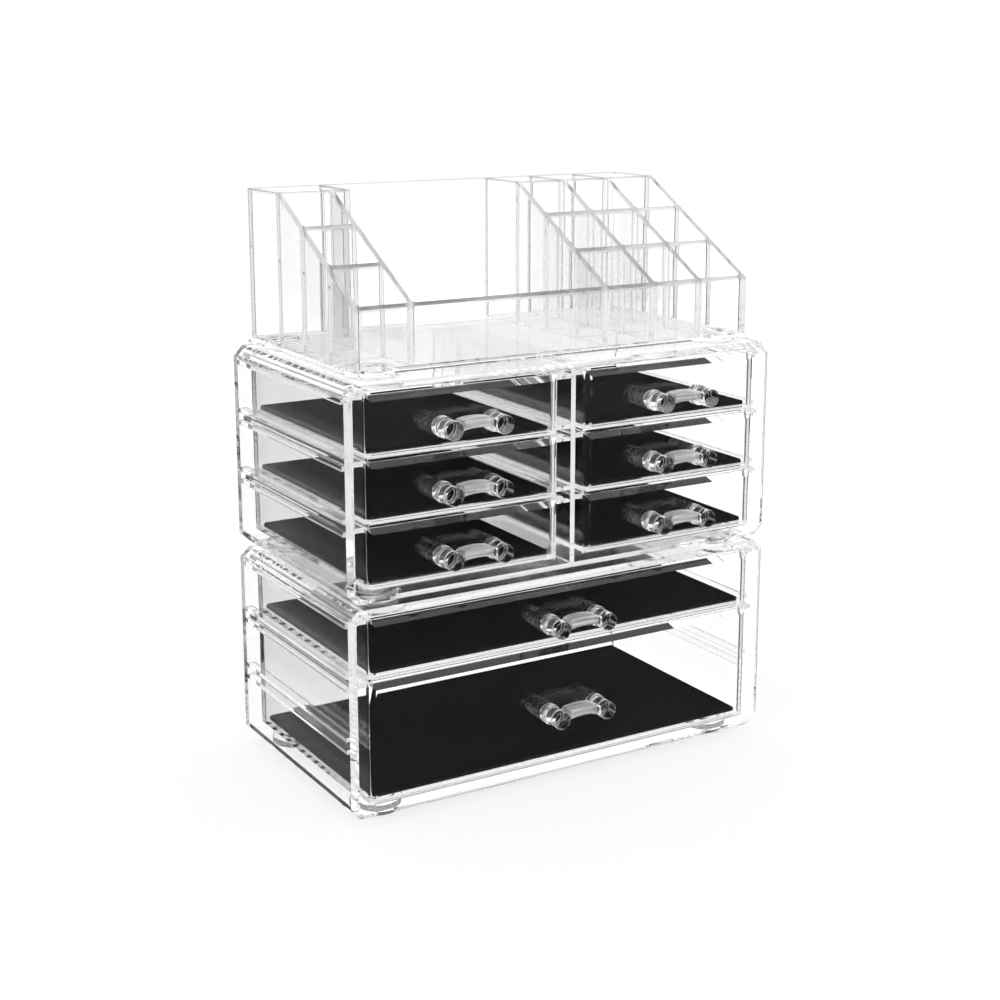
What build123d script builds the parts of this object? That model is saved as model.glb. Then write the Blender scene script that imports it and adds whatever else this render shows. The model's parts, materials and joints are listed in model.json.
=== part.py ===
from build123d import *
import os
from math import sqrt

# Stacking makeup organizer in clear moulded plastic: a lower case with two wide drawers,
# an upper case with two columns of small drawers, and a raked slot tray on top.
# The origin is on the floor, under the middle of the whole outline.

# Case shells, the lower and the upper one alike
case_width = 240.0
case_depth = 129.0
case_height = 102.0
case_wall = 3.2
case_corner_cut = 5.0
rim_bevel = 2.4
back_bevel = 1.2
divider_thickness = 2.6

# Feet moulded into every floor, and the shallow seats that locate them
foot_diameter = 23.0
foot_hollow_diameter = 15.0
foot_height = 3.6
foot_sole = 2.0
foot_edge = 0.6
foot_inset_x = 22.0
foot_inset_y = 19.2
seat_clear = 1.5
seat_depth = 0.8

# Hairline under every piece that rests on another
rest_gap = 0.15

# Rows of drawers and the ribs that carry them
row_count = 3
head_gap = 2.0
sill_gap = 2.6
front_gap = 1.1
side_gap = 6.6
rib_thickness = 2.2
rib_reach = 4.0
rib_setback = 8.0

# Drawers
flange_thickness = 2.4
flange_clear = 1.6
flange_edge = 0.4
corner_clear = 0.3
pass_clear = 0.45
stack_clear = 1.3
drawer_back_clear = 2.0
drawer_wall = 1.8
drawer_floor = 2.0
drawer_corner = 2.4
front_thickness = 3.5
front_bevel_width = 2.8
front_bevel_depth = 2.3

# Liners on the drawer floors
liner_thickness = 1.6
liner_clear = 1.6

# Handles: two round posts with an arched grip between them
handle_reach = 13.6
handle_spacing = 26.7
handle_drop = 2.5
post_diameter = 9.0
post_edge = 0.4
collar_diameter = 10.2
collar_length = 4.8
collar_edge = 0.5
spigot_diameter = 8.4
spigot_length = 1.2
spigot_clear = 0.15
grip_gap = 4.0
grip_depth = 8.6
grip_height = 4.8
grip_rise = 2.2
grip_edge = 1.4

# Raked slot tray
tray_width = 220.2
tray_rise = 78.0
tray_lip_rise = 31.8
tray_wall = 2.4
tray_front_inset = 9.0
tray_back_inset = 2.0
tray_plate = 2.2
tray_plate_lift = 2.3
skirt_lift = 0.8
plinth_height = 2.5
plinth_flare = 1.5
plinth_edge = 0.9
slot_width = 25.4
slot_length = 25.3
slot_corner = 1.5
rear_slot_width = 35.1
right_columns = 3
raked_rows = 3
pad_thickness = 0.8
pad_drop = 3.0
pad_side = 1.2
pad_corner = 1.5

# One overrun for every cut that leaves a face
overrun = 1.0

# Places worked out from the sizes above
front_y = -(case_depth - handle_reach) / 2
cavity_half_width = case_width / 2 - case_wall
cavity_height = case_height - 2 * case_wall
cavity_corner_cut = case_corner_cut - case_wall * (2 - sqrt(2))
# A drawer's rim passes under the front above it when it slides out
runner_clear = head_gap - front_gap + pass_clear
channel_height = rest_gap + flange_thickness + runner_clear
row_pitch = (cavity_height - head_gap - sill_gap + front_gap) / row_count
drawer_length = case_depth - case_wall - drawer_back_clear
lower_case_z = foot_height
lower_top_z = lower_case_z + case_height
upper_case_z = lower_top_z - seat_depth + rest_gap + foot_height
upper_top_z = upper_case_z + case_height
tray_z = upper_top_z + rest_gap
tray_front = tray_front_inset
tray_back = case_depth - tray_back_inset
tray_floor = tray_plate_lift + tray_plate
slot_pitch = slot_length + tray_wall
crest = tray_front + raked_rows * slot_pitch

# Upper drawers fill the width between a side wall and the divider, lower ones the whole width
small_drawer_width = cavity_half_width - divider_thickness / 2 - 2 * side_gap
small_drawer_x = (cavity_half_width + divider_thickness / 2) / 2
wide_drawer_width = 2 * cavity_half_width - 2 * side_gap


def block(profile, start, length):
    """Extrude a front-view profile back from a distance behind the front plane."""
    return extrude(Plane.XZ.offset(-(start + length)) * profile, amount=length)


def span(left, right, low, high):
    """Rectangle between two pairs of edges, in front view or in plan."""
    return Pos((left + right) / 2, (low + high) / 2) * Rectangle(right - left, high - low)


def foot_places():
    """Four places of the feet, the same on every module."""
    grid = GridLocations(case_width - 2 * foot_inset_x, case_depth - 2 * foot_inset_y, 2, 2)
    return [Pos(0, case_depth / 2) * place for place in grid]


def add_feet(body, underside, floor_top, sole_z):
    """Mould four hollow feet into a floor."""
    stub = extrude(Plane.XY.offset(sole_z) * Circle(foot_diameter / 2), amount=underside - sole_z)
    stub = chamfer(stub.faces().sort_by(Axis.Z)[0].edges(), foot_edge)
    hollow_z = sole_z + foot_sole
    hollow_disc = Plane.XY.offset(hollow_z) * Circle(foot_hollow_diameter / 2)
    hollow = extrude(hollow_disc, amount=floor_top - hollow_z + overrun)
    body += [place * stub for place in foot_places()]
    return body - [place * hollow for place in foot_places()]


def runner_ribs(faces):
    """Ribs on wall faces: each row's flange slides on one, and from the second row under another."""
    ribs = Sketch()
    for face_x, inward in faces:
        left, right = sorted((face_x, face_x + inward * rib_reach))
        for row in range(row_count):
            roof = case_height - case_wall - row * row_pitch
            ledge = roof - channel_height
            ribs += span(left, right, ledge - rib_thickness, ledge)
            if row > 0:
                ribs += span(left, right, roof, roof + rib_thickness)
    return block(ribs, rib_setback, case_depth - case_wall - rib_setback)


def case(divided):
    """Open-fronted shell with cut corners, a bevelled rim, ribs, feet and seats."""
    outline = Pos(0, case_height / 2) * Rectangle(case_width, case_height)
    outline = chamfer(outline.vertices(), case_corner_cut)
    cavity = offset(outline, -case_wall, kind=Kind.INTERSECTION)
    shell = block(outline, 0, case_depth)
    shell = chamfer(shell.faces().sort_by(Axis.Y)[0].edges(), rim_bevel)
    shell = chamfer(shell.faces().sort_by(Axis.Y)[-1].edges(), back_bevel)
    shell -= block(cavity, -overrun, case_depth - case_wall + overrun)
    faces = [(-cavity_half_width, 1), (cavity_half_width, -1)]
    if divided:
        half = divider_thickness / 2
        panel = span(-half, half, case_wall, case_height - case_wall)
        shell += block(panel, 0, case_depth - case_wall)
        faces += [(-half, -1), (half, 1)]
    shell += runner_ribs(faces)
    shell = add_feet(shell, 0, case_wall, -foot_height)
    seat_disc = Circle(foot_diameter / 2 + seat_clear)
    seat = extrude(Plane.XY.offset(case_height - seat_depth) * seat_disc, amount=seat_depth + overrun)
    return shell - [place * seat for place in foot_places()]


def front_panel(width, height):
    """Drawer front with a mitred bevel all round, its face on the front plane."""
    plate = block(Rectangle(width, height), front_bevel_depth, front_thickness - front_bevel_depth)
    inner_width = width - 2 * front_bevel_width
    inner_height = height - 2 * front_bevel_width
    root = Plane.XZ.offset(-front_bevel_depth) * Rectangle(width, height)
    field = Plane.XZ * Rectangle(inner_width, inner_height)
    return plate + loft([root, field], ruled=True)


def front_size(rows):
    """Height of a drawer front that covers a number of rows."""
    return rows * row_pitch - front_gap


def handle_height(rows):
    """Height of the handle's posts, below the roof of the drawer's channel."""
    return -head_gap - front_size(rows) / 2 - handle_drop


def drawer(width, rows):
    """Tub hung from two side flanges, closed by a thick front. Height 0 is its channel's roof."""
    height = rows * row_pitch - stack_clear
    top = -runner_clear
    floor = top - height
    half = width / 2
    flange_half = half + side_gap - flange_clear
    flange = span(-flange_half, flange_half, top - flange_thickness, top)
    corner_room = cavity_corner_cut + corner_clear * sqrt(2) - flange_clear - runner_clear
    flange = chamfer(flange.vertices().sort_by(Axis.Y)[-2:], max(corner_room, flange_edge))
    section = span(-half, half, floor, top) + flange
    tub = block(section, front_thickness, drawer_length - front_thickness)
    inner_length = drawer_length - front_thickness - drawer_wall
    plan = RectangleRounded(width - 2 * drawer_wall, inner_length, drawer_corner)
    plan = Pos(0, front_thickness + inner_length / 2, floor + drawer_floor) * plan
    hollow = extrude(plan, amount=height)
    panel_height = front_size(rows)
    panel = Pos(0, 0, -head_gap - panel_height / 2) * front_panel(width, panel_height)
    body = tub - hollow + panel
    recess = block(Circle(spigot_diameter / 2 + spigot_clear), -overrun, overrun + spigot_length + rest_gap)
    for side in (-1, 1):
        body -= Pos(side * handle_spacing / 2, 0, handle_height(rows)) * recess
    return body


def liner(width, rows):
    """Thin pad that lies on a drawer's floor."""
    inner_length = drawer_length - front_thickness - drawer_wall
    pad_width = width - 2 * drawer_wall - 2 * liner_clear
    plan = Rectangle(pad_width, inner_length - 2 * liner_clear)
    floor_top = drawer_floor - runner_clear - rows * row_pitch + stack_clear
    place = Pos(0, front_thickness + inner_length / 2, floor_top + rest_gap)
    return extrude(place * plan, amount=liner_thickness)


def handle():
    """Posts turned about their axes, with spigots for the front, and the arched grip between them."""
    radius = post_diameter / 2
    turning = make_face(Polyline(
        (0, -spigot_length),
        (spigot_diameter / 2, -spigot_length),
        (spigot_diameter / 2, rest_gap),
        (collar_diameter / 2, rest_gap),
        (collar_diameter / 2, collar_length - collar_edge),
        (radius, collar_length),
        (radius, handle_reach - post_edge),
        (radius - post_edge, handle_reach),
        (0, handle_reach),
        close=True,
    ))
    post = Rot(90, 0, 0) * revolve(Plane.XZ * turning, Axis.Z)
    end = handle_spacing / 2
    half = grip_height / 2
    upper = ThreePointArc((-end, half), (0, half + grip_rise), (end, half))
    lower = ThreePointArc((-end, -half), (0, grip_rise - half), (end, -half))
    sides = [Line((-end, -half), (-end, half)), Line((end, -half), (end, half))]
    grip = block(make_face([upper, lower] + sides), -grip_gap - grip_depth, grip_depth)
    grip = chamfer(grip.edges().filter_by(GeomType.CIRCLE), grip_edge)
    return grip + [Pos(side * end, 0, 0) * post for side in (-1, 1)]


def slot_plan():
    """Plan of the tray's slots: one column at the left, three at the right, four rows deep."""
    first_front = tray_front + tray_wall
    rear_front = crest + tray_wall
    rear_length = tray_back - tray_wall - rear_front
    rows = [(first_front + row * slot_pitch, slot_length) for row in range(raked_rows)]
    left_edge = tray_wall - tray_width / 2
    cells = [(left_edge, slot_width, front, length) for front, length in rows]
    cells.append((left_edge, rear_slot_width, rear_front, rear_length))
    for column in range(right_columns):
        edge = tray_width / 2 - (column + 1) * (slot_width + tray_wall)
        cells += [(edge, slot_width, front, length) for front, length in rows]
        cells.append((edge, slot_width, rear_front, rear_length))
    plan = Sketch()
    for edge, width, front, length in cells:
        plan += Pos(edge + width / 2, front + length / 2) * RectangleRounded(width, length, slot_corner)
    return plan


def bay_edges():
    """Left edge, left edge beside the wide rear slot, and right edge of the open bay."""
    left = 2 * tray_wall + slot_width - tray_width / 2
    rear_left = 2 * tray_wall + rear_slot_width - tray_width / 2
    right = tray_width / 2 - tray_wall - right_columns * (slot_width + tray_wall)
    return left, rear_left, right


def bay_plan():
    """Plan of the open bay, which steps in beside the wide rear slot."""
    left, rear_left, right = bay_edges()
    plan = span(left, right, tray_front + tray_wall, tray_back - tray_wall)
    plan -= span(left - overrun, rear_left, crest, tray_back)
    return fillet(plan.vertices(), slot_corner)


def bay_pad():
    """Shallow raised field on the back wall of the bay, rounded at its upper corners."""
    left, rear_left, right = bay_edges()
    field = span(rear_left + pad_side, right - pad_side, tray_floor, tray_rise - pad_drop)
    field = fillet(field.vertices().sort_by(Axis.Y)[-2:], pad_corner)
    return block(field, tray_back - tray_wall - pad_thickness, pad_thickness)


def tray():
    """One moulding: a raked block on a flared plinth, hollowed by slots and an open bay."""
    half = tray_width / 2
    side = make_face(Polyline(
        (tray_front, tray_plate_lift),
        (tray_front, tray_lip_rise),
        (crest, tray_rise),
        (tray_back, tray_rise),
        (tray_back, tray_plate_lift),
        close=True,
    ))
    body = extrude(Plane.YZ.offset(-half) * side, amount=tray_width)
    reach = half + plinth_flare
    foot_plan = span(-reach, reach, tray_front - plinth_flare, tray_back + plinth_flare)
    plinth = extrude(Plane.XY.offset(skirt_lift) * foot_plan, amount=plinth_height)
    plinth = chamfer(plinth.faces().sort_by(Axis.Z)[-1].edges(), plinth_edge)
    body += plinth
    under = offset(foot_plan, -tray_wall, kind=Kind.INTERSECTION)
    body -= extrude(Plane.XY.offset(skirt_lift - overrun) * under, amount=tray_plate_lift - skirt_lift + overrun)
    hollows = Plane.XY.offset(tray_floor) * (slot_plan() + bay_plan())
    body -= extrude(hollows, amount=tray_rise)
    body += bay_pad()
    return add_feet(body, tray_plate_lift, tray_floor, -seat_depth)


def drawer_list():
    """Name, middle, width, channel roof and rows of every drawer."""
    upper_roof = upper_top_z - case_wall
    lower_roof = lower_top_z - case_wall
    drawers = []
    for side, middle in (("left", -small_drawer_x), ("right", small_drawer_x)):
        for row, level in enumerate(("top", "middle", "bottom")):
            name = f"upper_{side}_{level}_drawer"
            drawers.append((name, middle, small_drawer_width, upper_roof - row * row_pitch, 1))
    drawers.append(("lower_shallow_drawer", 0, wide_drawer_width, lower_roof, 1))
    drawers.append(("lower_deep_drawer", 0, wide_drawer_width, lower_roof - row_pitch, row_count - 1))
    return drawers


def save(shape, name):
    """Write one piece to its own file."""
    export_step(shape, f"parts/{name}.step")


os.makedirs("parts", exist_ok=True)
save(Pos(0, front_y, lower_case_z) * case(divided=False), "lower_case")
save(Pos(0, front_y, upper_case_z) * case(divided=True), "upper_case")
save(Pos(0, front_y, tray_z) * tray(), "slot_tray")
pull = handle()
for name, middle, width, roof, rows in drawer_list():
    place = Pos(middle, front_y, roof)
    save(place * drawer(width, rows), name)
    save(place * liner(width, rows), f"{name}_liner")
    save(place * Pos(0, 0, handle_height(rows)) * pull, f"{name}_handle")
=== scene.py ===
import json
from math import cos, radians

import bmesh
import bpy
from bpy.props import FloatProperty, FloatVectorProperty, IntProperty, PointerProperty
from mathutils import Matrix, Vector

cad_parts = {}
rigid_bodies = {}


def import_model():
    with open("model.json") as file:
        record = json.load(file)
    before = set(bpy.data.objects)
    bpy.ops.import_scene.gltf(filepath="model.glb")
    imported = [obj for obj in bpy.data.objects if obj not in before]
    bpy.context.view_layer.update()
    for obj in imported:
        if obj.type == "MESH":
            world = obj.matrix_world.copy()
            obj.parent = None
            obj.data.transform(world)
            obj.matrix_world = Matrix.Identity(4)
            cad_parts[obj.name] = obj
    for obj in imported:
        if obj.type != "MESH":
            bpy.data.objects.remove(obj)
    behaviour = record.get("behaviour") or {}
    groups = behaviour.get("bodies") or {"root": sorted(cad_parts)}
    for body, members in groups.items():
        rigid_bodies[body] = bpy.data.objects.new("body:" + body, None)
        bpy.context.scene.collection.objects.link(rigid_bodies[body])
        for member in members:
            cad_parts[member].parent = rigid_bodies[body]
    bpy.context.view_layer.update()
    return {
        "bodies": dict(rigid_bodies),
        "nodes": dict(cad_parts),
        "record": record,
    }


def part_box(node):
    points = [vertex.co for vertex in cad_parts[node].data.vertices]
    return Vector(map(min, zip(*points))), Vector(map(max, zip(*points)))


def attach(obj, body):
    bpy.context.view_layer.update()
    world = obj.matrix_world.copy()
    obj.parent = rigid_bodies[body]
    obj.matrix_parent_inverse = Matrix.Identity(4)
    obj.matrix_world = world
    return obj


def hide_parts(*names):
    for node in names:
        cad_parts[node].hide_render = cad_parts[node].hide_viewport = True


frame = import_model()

bl_info = {
    "name": "Clear makeup organizer",
    "version": (1, 0, 0),
    "blender": (4, 5, 0),
    "location": "3D View > Sidebar > Organizer",
    "description": "Finishes a clear makeup organizer and lays black liners in its drawers",
    "category": "Object",
}

MILLIMETRE = 0.001
NODE_SLOTS = {entry["node"]: entry["material_slot"] for entry in frame["record"]["subparts"]}
DRAWERS = [name for name in frame["bodies"] if name.endswith("_drawer")]

PLASTIC_IOR = 1.5
# Roughness of the moulded skin, from its most polished patches to its haziest
POLISHED, HAZY = 0.0, 0.035
# Range of the noise in which a streak fades into clear plastic
STREAK_END, CLEAR_START = 0.35, 0.65
STREAK_ROUGHNESS, CLEAR_ROUGHNESS = 0.16, 0.04
# Share of the light that goes through the streaked grip
GRIP_TRANSMISSION = 0.5
# A wave texture's bands repeat every 2 pi / 20 units at scale 1
BAND_PERIOD = radians(360) / 20
THREAD_RELIEF = 0.15 * MILLIMETRE
MESH_ROUGHNESS, THREAD_ROUGHNESS = 0.95, 0.8

# Material slots of a handle
CLEAR_SLOT, STREAKED_SLOT = 0, 1
# Sections of half a grip, as shares of the way from a post's axis to the middle
GRIP_SECTIONS = (0.43, 0.52, 0.68, 0.84, 1.0)
# The grip's root, up to this share, stays as clear as the post
CLEAR_ROOT = 0.5
MERGE_DISTANCE = 0.01 * MILLIMETRE
SMOOTH_LEVELS = 2
CORNER_SEGMENTS, EDGE_SEGMENTS = 5, 3

FLOOR_SIDES = 96
# Real fibres are finer, and wouldn't show
FIBRE_SPACING = 4 * MILLIMETRE
FLOOR_GLOW = 1.1
# Upward parts of a ray's direction between which the wall turns into the ceiling
WALL_END, CEILING_START = 0.1, 0.75
# Light crosses dozens of clear walls before it leaves the organizer
LIGHT_BOUNCES = 64


def linear(hex_colour):
    """Scene-linear colour of an sRGB hex value."""
    shares = [int(hex_colour[place:place + 2], 16) / 255 for place in (1, 3, 5)]
    return tuple(s / 12.92 if s <= 0.04045 else ((s + 0.055) / 1.055) ** 2.4 for s in shares)


def opaque(colour):
    """A colour with full alpha, as a colour socket takes it."""
    return (*colour, 1.0)


WHITE = opaque(linear("#ffffff"))


class PlasticSettings(bpy.types.PropertyGroup):
    """Finish of the clear mouldings."""

    tint: FloatVectorProperty(
        name="Tint", description="Colour of light that passes a clear wall", subtype="COLOR",
        default=linear("#ffffff"), min=0, max=1,
    )
    flow_tint: FloatVectorProperty(
        name="Flow tint", description="Colour where the melt flowed last", subtype="COLOR",
        default=linear("#fefefe"), min=0, max=1,
    )
    depth_tint: FloatVectorProperty(
        name="Depth tint", description="Colour that long paths through the plastic take",
        subtype="COLOR", default=linear("#e2e3e3"), min=0, max=1,
    )
    depth_density: FloatProperty(
        name="Depth density", description="Absorption per metre of plastic", default=5.0, min=0,
    )
    wave_spacing: FloatProperty(
        name="Wave spacing", description="Distance between the waves of the moulded surface",
        default=16 * MILLIMETRE, min=MILLIMETRE, unit="LENGTH",
    )
    wave_height: FloatProperty(
        name="Wave height", description="Height of the waves of the moulded surface",
        default=0.012 * MILLIMETRE, min=0, precision=6, unit="LENGTH",
    )
    haze_spacing: FloatProperty(
        name="Haze spacing", description="Size of the patches where the polish varies",
        default=6 * MILLIMETRE, min=MILLIMETRE, unit="LENGTH",
    )


class TraySettings(bpy.types.PropertyGroup):
    """Rim of the raked slot tray, and the painted shade along it."""

    plinth_flare: FloatProperty(
        name="Plinth flare", description="How far the plinth stands out from the walls",
        default=1.5 * MILLIMETRE, unit="LENGTH",
    )
    rake_length: FloatProperty(
        name="Rake length", description="Depth of the raked rows",
        default=83.1 * MILLIMETRE, unit="LENGTH",
    )
    rake_drop: FloatProperty(
        name="Rake drop", description="How far the rim falls to the front",
        default=46.2 * MILLIMETRE, unit="LENGTH",
    )
    rim_band: FloatProperty(
        name="Rim band", description="Height of the rounding along the walls' upper edges",
        default=1.9 * MILLIMETRE, min=0.1 * MILLIMETRE, unit="LENGTH",
    )
    # Painted shade: the rounded rim along the walls' upper edges is tinted grey, standing in for
    # the grey lines that reflection and refraction draw there
    painted_shade_tint: FloatVectorProperty(
        name="Rim tint", description="Colour of light that passes the rounded rim",
        subtype="COLOR", default=linear("#c8c9c9"), min=0, max=1,
    )
    shade_roughness: FloatProperty(
        name="Rim roughness", description="Roughness of the rounded rim",
        default=0.3, min=0, max=1, subtype="FACTOR",
    )


class HandleSettings(bpy.types.PropertyGroup):
    """Handles of the drawers: two turned posts and an arched grip."""

    spacing: FloatProperty(
        name="Spacing", description="Distance between the two posts",
        default=26.7 * MILLIMETRE, unit="LENGTH",
    )
    reach: FloatProperty(
        name="Reach", description="How far the posts stand out",
        default=13.6 * MILLIMETRE, unit="LENGTH",
    )
    post_radius: FloatProperty(
        name="Post radius", description="Radius of a post",
        default=4.5 * MILLIMETRE, unit="LENGTH",
    )
    collar_radius: FloatProperty(
        name="Collar radius", description="Radius of the collar at a post's root",
        default=5.1 * MILLIMETRE, unit="LENGTH",
    )
    collar_length: FloatProperty(
        name="Collar length", description="Length of the collar",
        default=4.8 * MILLIMETRE, unit="LENGTH",
    )
    spigot_radius: FloatProperty(
        name="Spigot radius", description="Radius of the spigot in the drawer's front",
        default=4.2 * MILLIMETRE, unit="LENGTH",
    )
    spigot_length: FloatProperty(
        name="Spigot length", description="How far the spigot goes into the front",
        default=1.2 * MILLIMETRE, unit="LENGTH",
    )
    seat: FloatProperty(
        name="Seat", description="Hairline between the collar and the front",
        default=0.15 * MILLIMETRE, unit="LENGTH",
    )
    edge: FloatProperty(
        name="Edge", description="Softness of the turned edges",
        default=0.3 * MILLIMETRE, unit="LENGTH",
    )
    grip_gap: FloatProperty(
        name="Grip gap", description="Distance of the grip from the front",
        default=4.0 * MILLIMETRE, unit="LENGTH",
    )
    grip_depth: FloatProperty(
        name="Grip depth", description="Depth of the grip, front to back",
        default=8.6 * MILLIMETRE, unit="LENGTH",
    )
    grip_height: FloatProperty(
        name="Grip height", description="Height of the grip's section",
        default=4.8 * MILLIMETRE, unit="LENGTH",
    )
    grip_rise: FloatProperty(
        name="Grip rise", description="How far the grip arches up",
        default=2.2 * MILLIMETRE, unit="LENGTH",
    )
    sides: IntProperty(
        name="Sides", description="Sides of a post's rings before smoothing", default=16, min=16,
    )
    # Painted shade: the posts' flat ends are tinted dark, standing in for the dark inside of the
    # drawer that the clear ends would show
    painted_shade_tint: FloatVectorProperty(
        name="End tint", description="Colour of light that passes the end of a post",
        subtype="COLOR", default=linear("#444546"), min=0, max=1,
    )
    shade_roughness: FloatProperty(
        name="End roughness", description="Roughness of the end of a post",
        default=0.02, min=0, max=1, subtype="FACTOR",
    )
    streak_tint: FloatVectorProperty(
        name="Streak", description="Colour of the streaks in the grip",
        subtype="COLOR", default=linear("#ababac"), min=0, max=1,
    )
    streak_length: FloatProperty(
        name="Streak length", description="Length of the streaks along the grip",
        default=30 * MILLIMETRE, unit="LENGTH",
    )
    streak_width: FloatProperty(
        name="Streak width", description="Width of the streaks across the grip",
        default=1.4 * MILLIMETRE, unit="LENGTH",
    )


class LinerSettings(bpy.types.PropertyGroup):
    """Sheets that lie on the drawer floors."""

    corner: FloatProperty(
        name="Corner", description="Radius of a liner's corners",
        default=2 * MILLIMETRE, min=0, unit="LENGTH",
    )
    soft_edge: FloatProperty(
        name="Soft edge", description="Rounding of a liner's upper edge",
        default=0.5 * MILLIMETRE, min=0, unit="LENGTH",
    )
    thread_colour: FloatVectorProperty(
        name="Thread", description="Colour of the threads",
        subtype="COLOR", default=linear("#1f1f20"), min=0, max=1,
    )
    mesh_colour: FloatVectorProperty(
        name="Mesh", description="Colour between the threads",
        subtype="COLOR", default=linear("#131314"), min=0, max=1,
    )
    thread_spacing: FloatProperty(
        name="Thread spacing", description="Distance between the threads of the mesh",
        default=1.8 * MILLIMETRE, min=0.1 * MILLIMETRE, unit="LENGTH",
    )


class StageSettings(bpy.types.PropertyGroup):
    """Floor, light and camera."""

    floor_colour: FloatVectorProperty(
        name="Floor", description="Colour of the floor",
        subtype="COLOR", default=linear("#e8e8e8"), min=0, max=1,
    )
    floor_radius: FloatProperty(
        name="Floor radius", description="How far the floor reaches",
        default=4.0, min=0.5, unit="LENGTH",
    )
    ceiling_level: FloatProperty(
        name="Ceiling", description="Brightness of the ceiling in the plastic, against the walls",
        default=1.7, min=0,
    )
    through_level: FloatProperty(
        name="Seen through", description="Brightness of the backdrop behind clear walls",
        default=1.45, min=0,
    )
    floor_mirror_level: FloatProperty(
        name="Mirrored floor", description="Brightness of the floor in one reflection",
        default=0.05, min=0, max=1,
    )
    room_mirror_level: FloatProperty(
        name="Mirrored room", description="Brightness of the room in one reflection",
        default=1.0, min=0, max=1,
    )
    guided_level: FloatProperty(
        name="Guided", description="Brightness at the end of a wall that guides light",
        default=1.0, min=0,
    )
    shadow_share: FloatProperty(
        name="Shadow", description="Share of the floor's brightness that a shadow takes away",
        default=0.3, min=0, max=1, subtype="FACTOR",
    )
    camera_place: FloatVectorProperty(
        name="Camera place", description="Where the camera stands", subtype="TRANSLATION",
        default=(-0.44386, -0.7299, 0.35608),
    )
    camera_tilt: FloatProperty(
        name="Camera tilt", description="How far the camera looks down",
        default=radians(12.493), unit="ROTATION",
    )
    camera_turn: FloatProperty(
        name="Camera turn", description="How far the camera looks to the right",
        default=radians(30.95), unit="ROTATION",
    )
    camera_lens: FloatProperty(
        name="Lens", description="Focal length", default=62.05, min=10, unit="CAMERA",
    )
    camera_shift: FloatProperty(
        name="Shift", description="Vertical shift of the lens, as a share of the picture",
        default=-0.07,
    )


def add_node(tree, kind, values=None, links=None, **attributes):
    """Add one shader node with its attributes, socket values and links from other outputs."""
    made = tree.nodes.new(kind)
    for name, value in attributes.items():
        setattr(made, name, value)
    for name, value in (values or {}).items():
        made.inputs[name].default_value = value
    for name, output in (links or {}).items():
        tree.links.new(output, made.inputs[name])
    return made


def new_material(name):
    """An empty node material and its tree."""
    material = bpy.data.materials.new(name)
    material.use_nodes = True
    material.node_tree.nodes.clear()
    return material, material.node_tree


def clear_polystyrene(name, settings, share_of=None, group=None):
    """Crystal polystyrene from a polished mould: glassy, with slow waves and a breath of haze.

    Walls stay clear and long paths along a wall go grey. Where a function for the share is given,
    that share of the skin takes the group's painted shade, a darker tint that stands in for shade
    seen through the plastic, and the group's roughness."""
    material, tree = new_material(name)
    place = add_node(tree, "ShaderNodeTexCoord").outputs["Object"]
    waves = add_node(
        tree, "ShaderNodeTexNoise",
        {"Scale": 1 / settings.wave_spacing, "Detail": 1.0, "Roughness": 0.4}, {"Vector": place})
    haze = add_node(
        tree, "ShaderNodeTexNoise",
        {"Scale": 1 / settings.haze_spacing, "Detail": 3.0, "Roughness": 0.6}, {"Vector": place})
    skin = add_node(
        tree, "ShaderNodeBump", {"Strength": 1.0, "Distance": settings.wave_height},
        {"Height": waves.outputs["Fac"]})
    polish = add_node(
        tree, "ShaderNodeMapRange", {"To Min": POLISHED, "To Max": HAZY},
        {"Value": haze.outputs["Fac"]})
    flow = add_node(
        tree, "ShaderNodeMix", {"A": opaque(settings.flow_tint), "B": opaque(settings.tint)},
        {"Factor": waves.outputs["Fac"]}, data_type="RGBA")
    colour, rough = flow.outputs["Result"], polish.outputs["Result"]
    # Painted shade: the masked share of the skin takes a darker tint
    if share_of:
        share = share_of(tree, place, group)
        shaded = add_node(
            tree, "ShaderNodeMix", {"B": opaque(group.painted_shade_tint)},
            {"Factor": share, "A": colour}, data_type="RGBA")
        dull = add_node(
            tree, "ShaderNodeMath", {1: group.shade_roughness}, {0: share}, operation="MULTIPLY")
        duller = add_node(
            tree, "ShaderNodeMath", links={0: rough, 1: dull.outputs["Value"]},
            operation="MAXIMUM")
        colour, rough = shaded.outputs["Result"], duller.outputs["Value"]
    wall = add_node(
        tree, "ShaderNodeBsdfPrincipled", {"Transmission Weight": 1.0, "IOR": PLASTIC_IOR},
        {"Base Color": colour, "Roughness": rough, "Normal": skin.outputs["Normal"]})
    depth = add_node(
        tree, "ShaderNodeVolumeAbsorption",
        {"Color": opaque(settings.depth_tint), "Density": settings.depth_density})
    add_node(
        tree, "ShaderNodeOutputMaterial",
        links={"Surface": wall.outputs["BSDF"], "Volume": depth.outputs["Volume"]})
    return material


def rim_painted_shade_share(tree, place, settings):
    """Mask of the painted shade: one along the tray's raked rim, and nought below its rounding.
    """
    low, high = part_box("slot_tray")
    front = low.y + settings.plinth_flare
    axes = add_node(tree, "ShaderNodeSeparateXYZ", links={"Vector": place})
    rim = add_node(
        tree, "ShaderNodeMapRange",
        {"From Min": front, "From Max": front + settings.rake_length,
         "To Min": high.z - settings.rake_drop, "To Max": high.z},
        {"Value": axes.outputs["Y"]})
    below = add_node(
        tree, "ShaderNodeMath", links={0: rim.outputs["Result"], 1: axes.outputs["Z"]},
        operation="SUBTRACT")
    share = add_node(
        tree, "ShaderNodeMapRange", {"From Max": settings.rim_band, "To Min": 1.0, "To Max": 0.0},
        {"Value": below.outputs["Value"]})
    return share.outputs["Result"]


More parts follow.
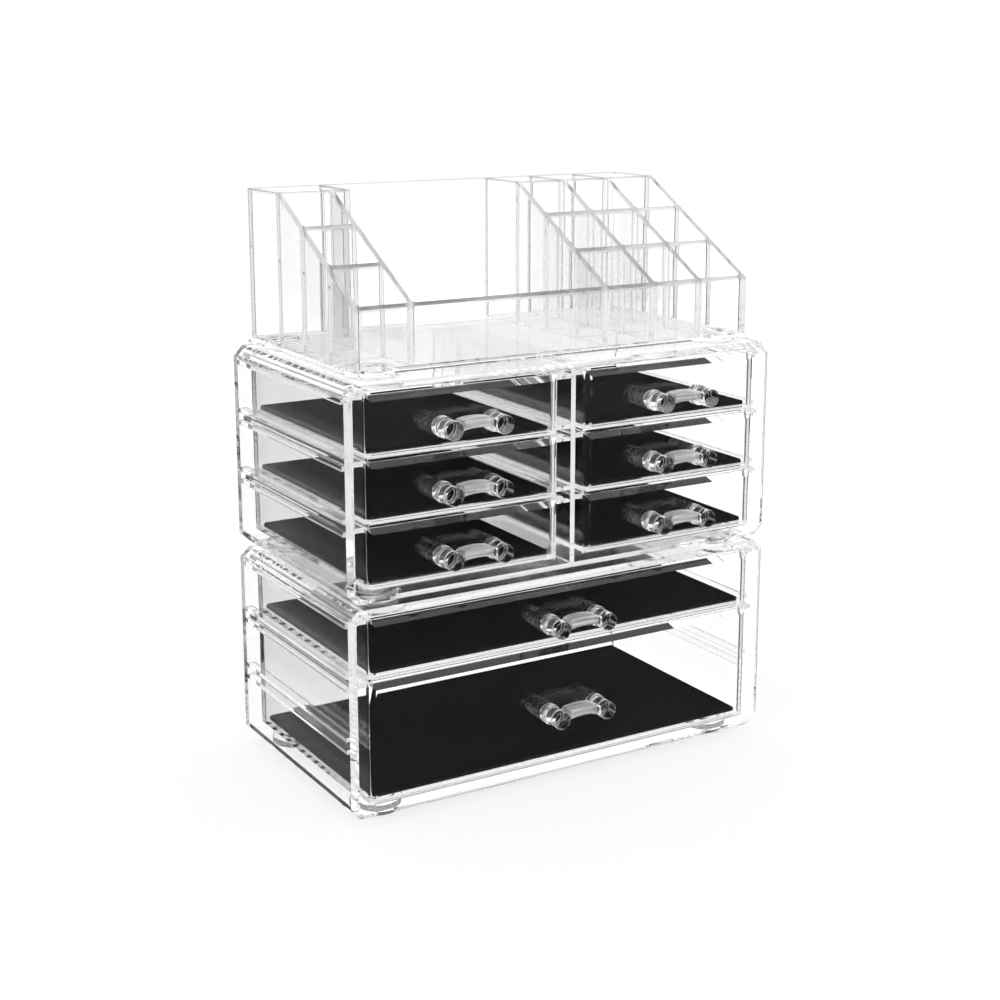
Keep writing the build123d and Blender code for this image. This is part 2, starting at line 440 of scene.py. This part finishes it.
def end_painted_shade_share(tree, place, settings):
    """Mask of the painted shade: one on the flat ends of the handles' posts, all in one plane,
    and nought behind them.
    """
    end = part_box(f"{DRAWERS[0]}_handle")[0].y
    axes = add_node(tree, "ShaderNodeSeparateXYZ", links={"Vector": place})
    share = add_node(
        tree, "ShaderNodeMapRange",
        {"From Min": end, "From Max": end + settings.edge / 6, "To Min": 1.0, "To Max": 0.0},
        {"Value": axes.outputs["Y"]})
    return share.outputs["Result"]


def streaked_polystyrene(settings):
    """Crystal polystyrene drawn out through the grip: milky streaks along it catch the light."""
    material, tree = new_material("streaked_polystyrene_grip")
    place = add_node(tree, "ShaderNodeTexCoord").outputs["Object"]
    across = 1 / settings.streak_width
    drawn = add_node(
        tree, "ShaderNodeMapping", {"Scale": (1 / settings.streak_length, across, across)},
        {"Vector": place})
    streaks = add_node(
        tree, "ShaderNodeTexNoise", {"Scale": 1.0, "Detail": 2.0},
        {"Vector": drawn.outputs["Vector"]})
    share = add_node(
        tree, "ShaderNodeMapRange", {"From Min": STREAK_END, "From Max": CLEAR_START},
        {"Value": streaks.outputs["Fac"]})
    colour = add_node(
        tree, "ShaderNodeMix", {"A": opaque(settings.streak_tint), "B": WHITE},
        {"Factor": share.outputs["Result"]}, data_type="RGBA")
    rough = add_node(
        tree, "ShaderNodeMapRange", {"To Min": STREAK_ROUGHNESS, "To Max": CLEAR_ROUGHNESS},
        {"Value": share.outputs["Result"]})
    grip = add_node(
        tree, "ShaderNodeBsdfPrincipled",
        {"Transmission Weight": GRIP_TRANSMISSION, "IOR": PLASTIC_IOR},
        {"Base Color": colour.outputs["Result"], "Roughness": rough.outputs["Result"]})
    add_node(tree, "ShaderNodeOutputMaterial", links={"Surface": grip.outputs["BSDF"]})
    return material


def black_mesh_cloth(settings):
    """Knitted polyester mesh, dyed black: matt, with crossing threads that are a little lighter.

    The mesh is drawn coarse enough to show."""
    material, tree = new_material("black_polyester_mesh")
    place = add_node(tree, "ShaderNodeTexCoord").outputs["Object"]
    turn = add_node(
        tree, "ShaderNodeMapping", {"Rotation": (0, 0, radians(45))}, {"Vector": place})
    strands = [
        add_node(
            tree, "ShaderNodeTexWave",
            {"Scale": BAND_PERIOD / settings.thread_spacing, "Distortion": 0.3, "Detail": 1.0},
            {"Vector": turn.outputs["Vector"]}, bands_direction=direction)
        for direction in ("X", "Y")
    ]
    mesh = add_node(
        tree, "ShaderNodeMath",
        links={0: strands[0].outputs["Fac"], 1: strands[1].outputs["Fac"]}, operation="MAXIMUM")
    colour = add_node(
        tree, "ShaderNodeMix",
        {"A": opaque(settings.mesh_colour), "B": opaque(settings.thread_colour)},
        {"Factor": mesh.outputs["Value"]}, data_type="RGBA")
    relief = add_node(
        tree, "ShaderNodeBump", {"Strength": 0.6, "Distance": THREAD_RELIEF},
        {"Height": mesh.outputs["Value"]})
    rough = add_node(
        tree, "ShaderNodeMapRange", {"To Min": MESH_ROUGHNESS, "To Max": THREAD_ROUGHNESS},
        {"Value": mesh.outputs["Value"]})
    cloth = add_node(
        tree, "ShaderNodeBsdfPrincipled", {"Specular IOR Level": 0.2},
        {"Base Color": colour.outputs["Result"], "Roughness": rough.outputs["Result"],
         "Normal": relief.outputs["Normal"]})
    add_node(tree, "ShaderNodeOutputMaterial", links={"Surface": cloth.outputs["BSDF"]})
    return material


def new_piece(name, shape, *materials):
    """Turn a finished bmesh into an object at the origin, with its place in its mesh."""
    mesh = bpy.data.meshes.new(name)
    shape.to_mesh(mesh)
    shape.free()
    for material in materials:
        mesh.materials.append(material)
    piece = bpy.data.objects.new(name, mesh)
    bpy.context.scene.collection.objects.link(piece)
    return piece


class ORGANIZER_OT_clear_mouldings(bpy.types.Operator):
    """Give the cases, the tray and the drawers their clear plastic"""

    bl_idname = "organizer.clear_mouldings"
    bl_label = "Clear mouldings"

    def execute(self, context):
        settings = context.scene.organizer_plastic
        plastic = clear_polystyrene("clear_polystyrene", settings)
        # The tray's plastic carries painted grey shade along its rounded rim
        tray_plastic = clear_polystyrene(
            "clear_polystyrene_tray", settings, rim_painted_shade_share, context.scene.organizer_tray)
        for name, slot in NODE_SLOTS.items():
            if slot == "clear_styrene":
                mesh = frame["nodes"][name].data
                mesh.materials.clear()
                mesh.materials.append(tray_plastic if name == "slot_tray" else plastic)
        return {"FINISHED"}


def post_rings(settings):
    """Radius of every ring of a post and its distance from the drawer's front, spigot first.

    The first two numbers are the distances between which the grip leaves the post."""
    edge = settings.edge
    near = settings.collar_length + 2 * edge
    far = settings.reach - 4 * edge
    step = (far - near) / 3
    return near, far, [
        (settings.spigot_radius - edge, -settings.spigot_length),
        (settings.spigot_radius, edge - settings.spigot_length),
        (settings.spigot_radius, settings.seat),
        (settings.collar_radius - edge, settings.seat),
        (settings.collar_radius, settings.seat + edge),
        (settings.collar_radius, settings.collar_length - 3 * edge),
        (settings.collar_radius - edge / 2, settings.collar_length - edge),
        (settings.post_radius, settings.collar_length),
        *((settings.post_radius, near + count * step) for count in range(4)),
        (settings.post_radius, settings.reach - edge),
        (settings.post_radius, settings.reach - edge / 4),
        (settings.post_radius - edge / 4, settings.reach),
        (settings.post_radius - edge, settings.reach),
        (settings.post_radius / 2, settings.reach),
    ]


def pull_ring(shape, loop, slot):
    """Pull a new ring of faces out of an open loop, and give the ring's edges and corners."""
    pulled = bmesh.ops.extrude_edge_only(shape, edges=loop)["geom"]
    edges = [item for item in pulled if isinstance(item, bmesh.types.BMEdge)]
    corners = [item for item in pulled if isinstance(item, bmesh.types.BMVert)]
    for item in pulled:
        if isinstance(item, bmesh.types.BMFace):
            item.material_index = slot
    return edges, corners


def turn_post(shape, settings, rings):
    """Turn a post about the Z axis, ring by ring, and close its end."""
    turn = radians(360) / settings.sides
    # A smoothed ring runs inside its corners, so each ring is drawn wider
    spread = 6 / (4 + 2 * cos(turn))
    radius = settings.spigot_radius / 2
    height = -settings.spigot_length
    place = Matrix.Translation((0, 0, height)) @ Matrix.Rotation(turn / 2, 4, "Z")
    bmesh.ops.create_circle(
        shape, cap_ends=True, segments=settings.sides, radius=radius * spread, matrix=place)
    loop = shape.edges[:]
    for next_radius, next_height in rings:
        loop, corners = pull_ring(shape, loop, CLEAR_SLOT)
        ratio = next_radius / radius
        bmesh.ops.scale(shape, vec=(ratio, ratio, 1), verts=corners)
        bmesh.ops.translate(shape, vec=(0, 0, next_height - height), verts=corners)
        radius, height = next_radius, next_height
    bmesh.ops.edgeloop_fill(shape, edges=loop)


def draw_grip(shape, settings, near, far):
    """Draw half of the grip out of a post, through the three by three faces that look along X."""
    patch = []
    for face in shape.faces:
        middle = face.calc_center_median()
        if near < middle.z < far and abs(middle.y) < middle.x / 2:
            patch.append(face)
    bmesh.ops.delete(shape, geom=patch, context="FACES")
    loop = [edge for edge in shape.edges if edge.is_boundary]
    size = (0, settings.grip_height, settings.grip_depth)
    for share in GRIP_SECTIONS:
        slot = STREAKED_SLOT if share > CLEAR_ROOT else CLEAR_SLOT
        loop, corners = pull_ring(shape, loop, slot)
        low = [min(corner.co[axis] for corner in corners) for axis in range(3)]
        high = [max(corner.co[axis] for corner in corners) for axis in range(3)]
        ratio = (0, size[1] / (high[1] - low[1]), size[2] / (high[2] - low[2]))
        centre = [-(low[axis] + high[axis]) / 2 for axis in range(3)]
        arch = settings.grip_rise * (1 - (1 - share) ** 2)
        place = (share * settings.spacing / 2, arch, settings.grip_gap + settings.grip_depth / 2)
        bmesh.ops.translate(shape, vec=centre, verts=corners)
        bmesh.ops.scale(shape, vec=ratio, verts=corners)
        bmesh.ops.translate(shape, vec=place, verts=corners)


def handle_shape(settings):
    """One smooth moulding: a turned post with half of the grip, and their mirror image.

    The front's plane is at Y 0, and the middle of the grip at X 0."""
    shape = bmesh.new()
    near, far, rings = post_rings(settings)
    turn_post(shape, settings, rings)
    draw_grip(shape, settings, near, far)
    bmesh.ops.translate(shape, vec=(-settings.spacing / 2, 0, 0), verts=shape.verts)
    bmesh.ops.mirror(
        shape, geom=shape.verts[:] + shape.edges[:] + shape.faces[:], axis="X",
        merge_dist=MERGE_DISTANCE)
    bmesh.ops.remove_doubles(shape, verts=shape.verts, dist=MERGE_DISTANCE)
    bmesh.ops.rotate(shape, matrix=Matrix.Rotation(radians(90), 3, "X"), verts=shape.verts)
    bmesh.ops.recalc_face_normals(shape, faces=shape.faces)
    for face in shape.faces:
        face.smooth = True
    return shape


class ORGANIZER_OT_drawer_handles(bpy.types.Operator):
    """Set a smooth clear handle in every drawer's front"""

    bl_idname = "organizer.drawer_handles"
    bl_label = "Drawer handles"

    def execute(self, context):
        settings = context.scene.organizer_handle
        # The handle's plastic carries painted shade on the posts' flat ends
        plastic = clear_polystyrene(
            "clear_polystyrene_handle", context.scene.organizer_plastic, end_painted_shade_share, settings)
        streaked = streaked_polystyrene(settings)
        for drawer in DRAWERS:
            node = f"{drawer}_handle"
            low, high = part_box(node)
            shape = handle_shape(settings)
            place = ((low.x + high.x) / 2, low.y + settings.reach, (low.z + high.z) / 2)
            bmesh.ops.translate(shape, vec=place, verts=shape.verts)
            piece = new_piece(f"{drawer}_moulded_handle", shape, plastic, streaked)
            smooth = piece.modifiers.new("smooth", "SUBSURF")
            smooth.levels = SMOOTH_LEVELS
            smooth.render_levels = SMOOTH_LEVELS
            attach(piece, drawer)
            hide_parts(node)
        return {"FINISHED"}


def liner_shape(low, high, settings):
    """A thin sheet with rounded corners and a soft upper edge, between two corners of a box."""
    shape = bmesh.new()
    middle = ((low.x + high.x) / 2, (low.y + high.y) / 2, low.z)
    bmesh.ops.create_grid(shape, x_segments=1, y_segments=1, size=0.5)
    bmesh.ops.scale(shape, vec=(high.x - low.x, high.y - low.y, 1), verts=shape.verts)
    bmesh.ops.translate(shape, vec=middle, verts=shape.verts)
    bmesh.ops.bevel(
        shape, geom=shape.verts[:], offset=settings.corner, segments=CORNER_SEGMENTS,
        profile=0.5, affect="VERTICES", material=-1)
    raised = bmesh.ops.extrude_face_region(shape, geom=shape.faces[:], use_keep_orig=True)["geom"]
    top = [item for item in raised if isinstance(item, bmesh.types.BMFace)]
    corners = [item for item in raised if isinstance(item, bmesh.types.BMVert)]
    bmesh.ops.translate(shape, vec=(0, 0, high.z - low.z), verts=corners)
    bmesh.ops.bevel(
        shape, geom=top[0].edges[:], offset=settings.soft_edge, segments=EDGE_SEGMENTS,
        profile=0.5, affect="EDGES", material=-1)
    bmesh.ops.recalc_face_normals(shape, faces=shape.faces)
    return shape


class ORGANIZER_OT_drawer_liners(bpy.types.Operator):
    """Lay a black mesh liner on every drawer's floor"""

    bl_idname = "organizer.drawer_liners"
    bl_label = "Drawer liners"

    def execute(self, context):
        settings = context.scene.organizer_liner
        cloth = black_mesh_cloth(settings)
        for drawer in DRAWERS:
            node = f"{drawer}_liner"
            low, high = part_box(node)
            piece = new_piece(f"{drawer}_mesh_liner", liner_shape(low, high, settings), cloth)
            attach(piece, drawer)
            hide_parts(node)
        return {"FINISHED"}


def plastic_level(tree, path, settings, mirror_level):
    """Brightness of the backdrop for a ray in the plastic, by how often it was mirrored.

    It differs for a ray that was never mirrored, once, and more often, as along a wall."""
    depth = path.outputs["Glossy Depth"]
    direct = add_node(
        tree, "ShaderNodeMapRange",
        {"From Max": 1.0, "To Min": settings.through_level, "To Max": mirror_level},
        {"Value": depth})
    guided = add_node(
        tree, "ShaderNodeMapRange",
        {"From Min": 1.0, "From Max": 2.0, "To Min": 0.0, "To Max": settings.guided_level},
        {"Value": depth})
    level = add_node(
        tree, "ShaderNodeMath", links={0: direct.outputs["Result"], 1: guided.outputs["Result"]},
        operation="MAXIMUM")
    return level.outputs["Value"]


def in_plastic(tree, path):
    """One for a ray that comes out of the plastic, or else nought."""
    either = add_node(
        tree, "ShaderNodeMath",
        links={0: path.outputs["Is Glossy Ray"], 1: path.outputs["Is Transmission Ray"]},
        operation="MAXIMUM")
    return either.outputs["Value"]


def white_floor(settings):
    """Matt white table paper that keeps a soft shadow and stays white to the horizon."""
    material, tree = new_material("white_paper")
    place = add_node(tree, "ShaderNodeTexCoord").outputs["Object"]
    fibres = add_node(
        tree, "ShaderNodeTexNoise", {"Scale": 1 / FIBRE_SPACING}, {"Vector": place})
    paper = add_node(
        tree, "ShaderNodeMix", {"A": opaque(settings.floor_colour), "B": WHITE},
        {"Factor": fibres.outputs["Fac"]}, data_type="RGBA")
    path = add_node(tree, "ShaderNodeLightPath")
    matt = add_node(tree, "ShaderNodeBsdfDiffuse", links={"Color": paper.outputs["Result"]})
    glow = add_node(tree, "ShaderNodeEmission", {"Color": WHITE, "Strength": FLOOR_GLOW})
    bright = add_node(
        tree, "ShaderNodeMixShader", {0: settings.shadow_share},
        {1: glow.outputs["Emission"], 2: matt.outputs["BSDF"]})
    level = plastic_level(tree, path, settings, settings.floor_mirror_level)
    behind = add_node(tree, "ShaderNodeEmission", {"Color": WHITE}, {"Strength": level})
    seen = add_node(
        tree, "ShaderNodeMixShader",
        links={0: in_plastic(tree, path), 1: bright.outputs["Shader"],
               2: behind.outputs["Emission"]})
    surface = add_node(
        tree, "ShaderNodeMixShader",
        links={0: path.outputs["Is Diffuse Ray"], 1: seen.outputs["Shader"],
               2: matt.outputs["BSDF"]})
    add_node(tree, "ShaderNodeOutputMaterial", links={"Surface": surface.outputs["Shader"]})
    return material


def studio_world(settings):
    """White room that lights evenly. Rays in the plastic see a brighter ceiling."""
    world = bpy.data.worlds.new("studio")
    world.use_nodes = True
    tree = world.node_tree
    tree.nodes.clear()
    path = add_node(tree, "ShaderNodeLightPath")
    direction = add_node(tree, "ShaderNodeTexCoord").outputs["Generated"]
    axes = add_node(tree, "ShaderNodeSeparateXYZ", links={"Vector": direction})
    room = add_node(
        tree, "ShaderNodeMapRange",
        {"From Min": WALL_END, "From Max": CEILING_START,
         "To Min": 1.0, "To Max": settings.ceiling_level},
        {"Value": axes.outputs["Z"]}, interpolation_type="SMOOTHSTEP")
    inside = plastic_level(tree, path, settings, settings.room_mirror_level)
    level = add_node(
        tree, "ShaderNodeMath", links={0: room.outputs["Result"], 1: inside},
        operation="MULTIPLY")
    backdrop = add_node(tree, "ShaderNodeBackground", {"Color": WHITE, "Strength": 1.0})
    behind = add_node(
        tree, "ShaderNodeBackground", {"Color": WHITE}, {"Strength": level.outputs["Value"]})
    final = add_node(
        tree, "ShaderNodeMixShader",
        links={0: in_plastic(tree, path), 1: backdrop.outputs["Background"],
               2: behind.outputs["Background"]})
    add_node(tree, "ShaderNodeOutputWorld", links={"Surface": final.outputs["Shader"]})
    return world


class ORGANIZER_OT_studio_stage(bpy.types.Operator):
    """Set the floor, the studio light and the camera"""

    bl_idname = "organizer.studio_stage"
    bl_label = "Studio stage"

    def execute(self, context):
        scene = context.scene
        settings = scene.organizer_stage
        shape = bmesh.new()
        bmesh.ops.create_circle(
            shape, cap_ends=True, segments=FLOOR_SIDES, radius=settings.floor_radius)
        floor = new_piece("paper_floor", shape, white_floor(settings))
        scene.world = studio_world(settings)
        camera_data = bpy.data.cameras.new("camera")
        camera_data.lens = settings.camera_lens
        camera_data.shift_y = settings.camera_shift
        camera = bpy.data.objects.new("camera", camera_data)
        camera.location = settings.camera_place
        camera.rotation_euler = (radians(90) - settings.camera_tilt, 0, -settings.camera_turn)
        scene.collection.objects.link(camera)
        scene.camera = camera
        scene.view_settings.view_transform = "Standard"
        scene.cycles.max_bounces = LIGHT_BOUNCES
        scene.cycles.transmission_bounces = LIGHT_BOUNCES
        scene.cycles.glossy_bounces = LIGHT_BOUNCES
        return {"FINISHED"}


class ORGANIZER_PT_panel(bpy.types.Panel):
    """Steps that dress the organizer, in order"""

    bl_label = "Organizer"
    bl_idname = "ORGANIZER_PT_panel"
    bl_space_type = "VIEW_3D"
    bl_region_type = "UI"
    bl_category = "Organizer"

    def draw(self, context):
        for operator in OPERATORS:
            self.layout.operator(operator.bl_idname)
        for holder in GROUPS:
            group = getattr(context.scene, holder)
            box = self.layout.box()
            for name in group.bl_rna.properties.keys():
                if name not in ("rna_type", "name"):
                    box.prop(group, name)


GROUPS = {
    "organizer_plastic": PlasticSettings,
    "organizer_tray": TraySettings,
    "organizer_handle": HandleSettings,
    "organizer_liner": LinerSettings,
    "organizer_stage": StageSettings,
}
OPERATORS = (
    ORGANIZER_OT_clear_mouldings,
    ORGANIZER_OT_drawer_handles,
    ORGANIZER_OT_drawer_liners,
    ORGANIZER_OT_studio_stage,
)
CLASSES = (*GROUPS.values(), *OPERATORS, ORGANIZER_PT_panel)


def register():
    for item in CLASSES:
        bpy.utils.register_class(item)
    for holder, group in GROUPS.items():
        setattr(bpy.types.Scene, holder, PointerProperty(type=group))


def unregister():
    for holder in GROUPS:
        delattr(bpy.types.Scene, holder)
    for item in reversed(CLASSES):
        bpy.utils.unregister_class(item)


def main():
    """Register the classes and dress the organizer."""
    register()
    bpy.ops.organizer.clear_mouldings()
    bpy.ops.organizer.drawer_handles()
    bpy.ops.organizer.drawer_liners()
    bpy.ops.organizer.studio_stage()


if __name__ == "__main__":
    main()
